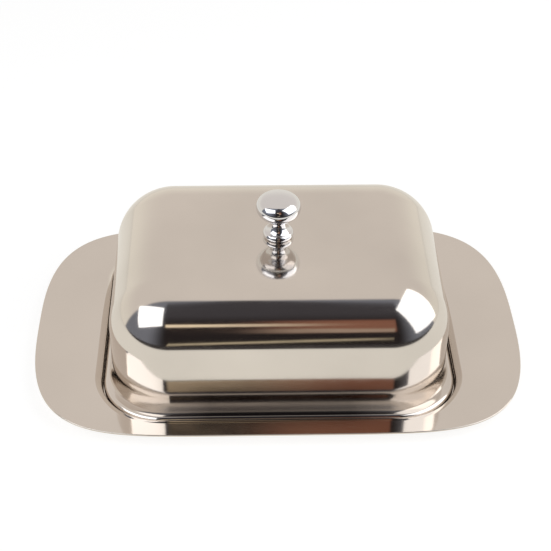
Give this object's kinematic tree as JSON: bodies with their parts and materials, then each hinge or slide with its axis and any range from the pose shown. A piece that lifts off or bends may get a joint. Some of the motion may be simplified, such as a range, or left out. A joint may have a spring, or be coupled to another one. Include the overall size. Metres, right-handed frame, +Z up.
{
  "type": "butter dish",
  "caption": "Oblong pressed steel tray with a sunk well and a domed lift-off cover topped by a turned knob.",
  "frame": {"origin": "under the middle of the dish, on the surface the tray stands on", "axes": "+X along the dish's length, +Y across it, +Z up"},
  "size_m": [0.19, 0.128, 0.0674],
  "materials": {
    "tray_steel": "mirror-polished stainless steel with faint wipe marks",
    "cover_steel": "mirror-polished stainless steel, a touch satin on top",
    "knob_chrome": "bright chrome plate",
    "screw_steel": "bright zinc plate",
    "washer_steel": "dull zinc plate"
  },
  "bodies": {
    "tray": {"tray": "tray_steel"},
    "cover": {"cover": "cover_steel", "knob": "knob_chrome", "screw": "screw_steel", "flat_washer": "washer_steel", "spring_washer": "washer_steel"}
  },
  "joints": [
    {"name": "cover_lift", "type": "slide", "parent": "tray", "child": "cover", "axis": [0, 0, 1], "range_m": [0, 0.12]}
  ]
}
